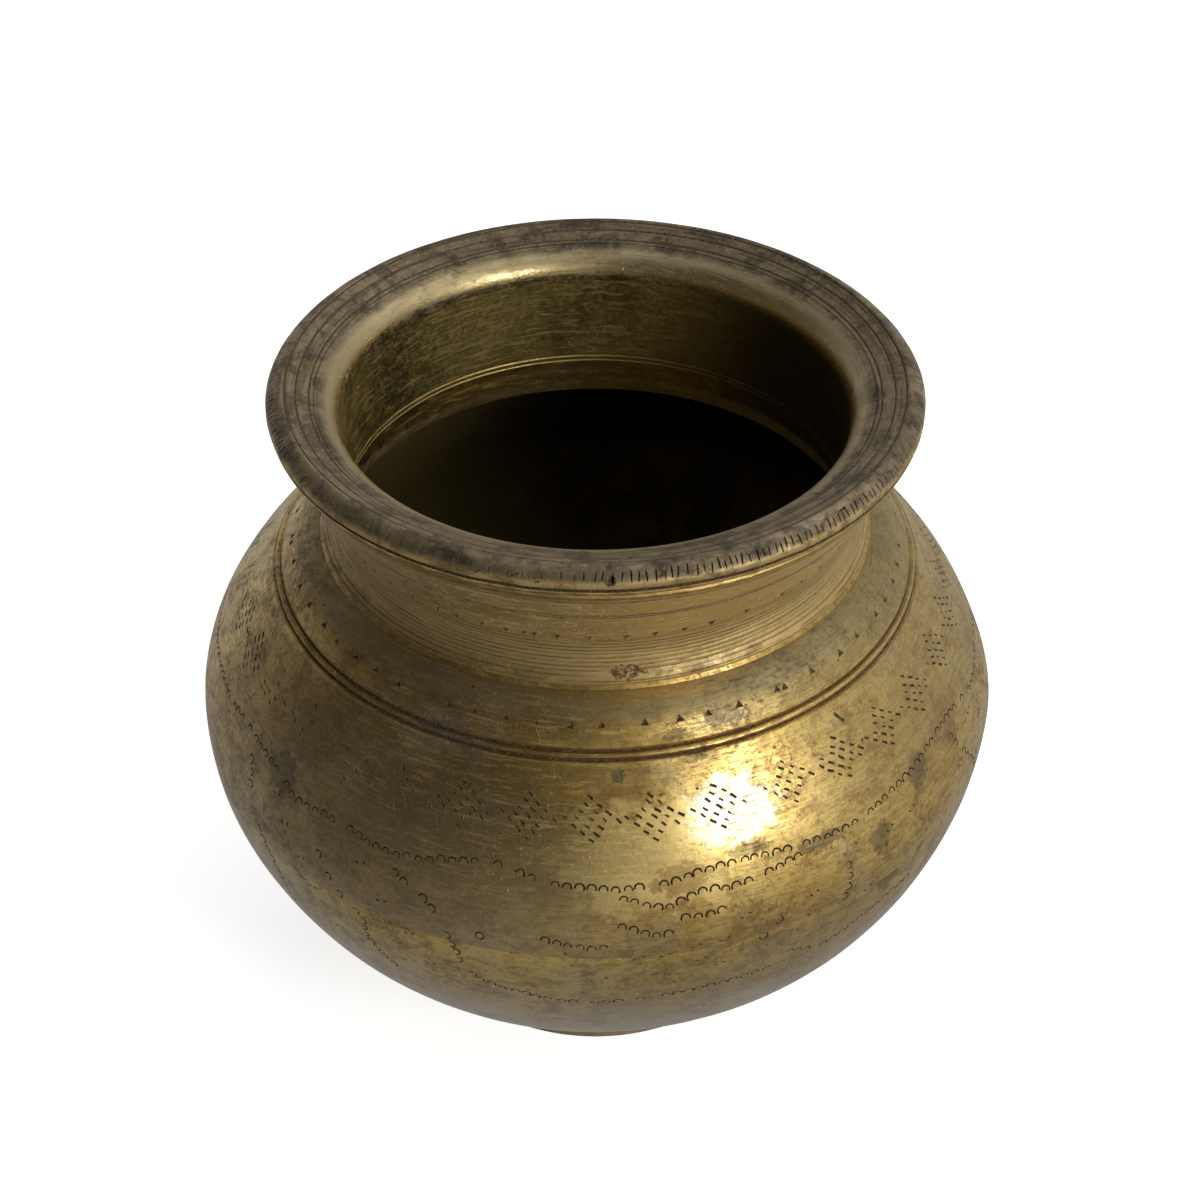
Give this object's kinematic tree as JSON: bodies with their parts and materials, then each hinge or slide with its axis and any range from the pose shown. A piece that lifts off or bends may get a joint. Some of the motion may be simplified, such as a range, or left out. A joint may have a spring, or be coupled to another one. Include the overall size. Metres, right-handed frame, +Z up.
{
  "type": "brass water pot",
  "caption": "Round-bellied brass pot with a turned neck, a heavy flared rim and a low foot ring, brazed from raised shells.",
  "frame": {"origin": "centre of the foot ring at the ground", "axes": "+Z up along the pot's axis of revolution; the pot looks the same from every side apart from its punched marks"},
  "size_m": [0.1252, 0.1252, 0.1101],
  "materials": {
    "turned_brass": "worn, lathe-turned, dull patina",
    "raised_brass": "hand-polished, punched, olive-gold patina",
    "foot_brass": "rubbed bright at the ground",
    "spelter": "reddish brazing brass, dull"
  },
  "bodies": {
    "root": {"neck_rim": "turned_brass", "shoulder_shell": "raised_brass", "bowl_shell": "raised_brass", "foot_ring": "foot_brass", "neck_spelter": "spelter", "belly_spelter": "spelter", "foot_spelter": "spelter"}
  },
  "joints": []
}
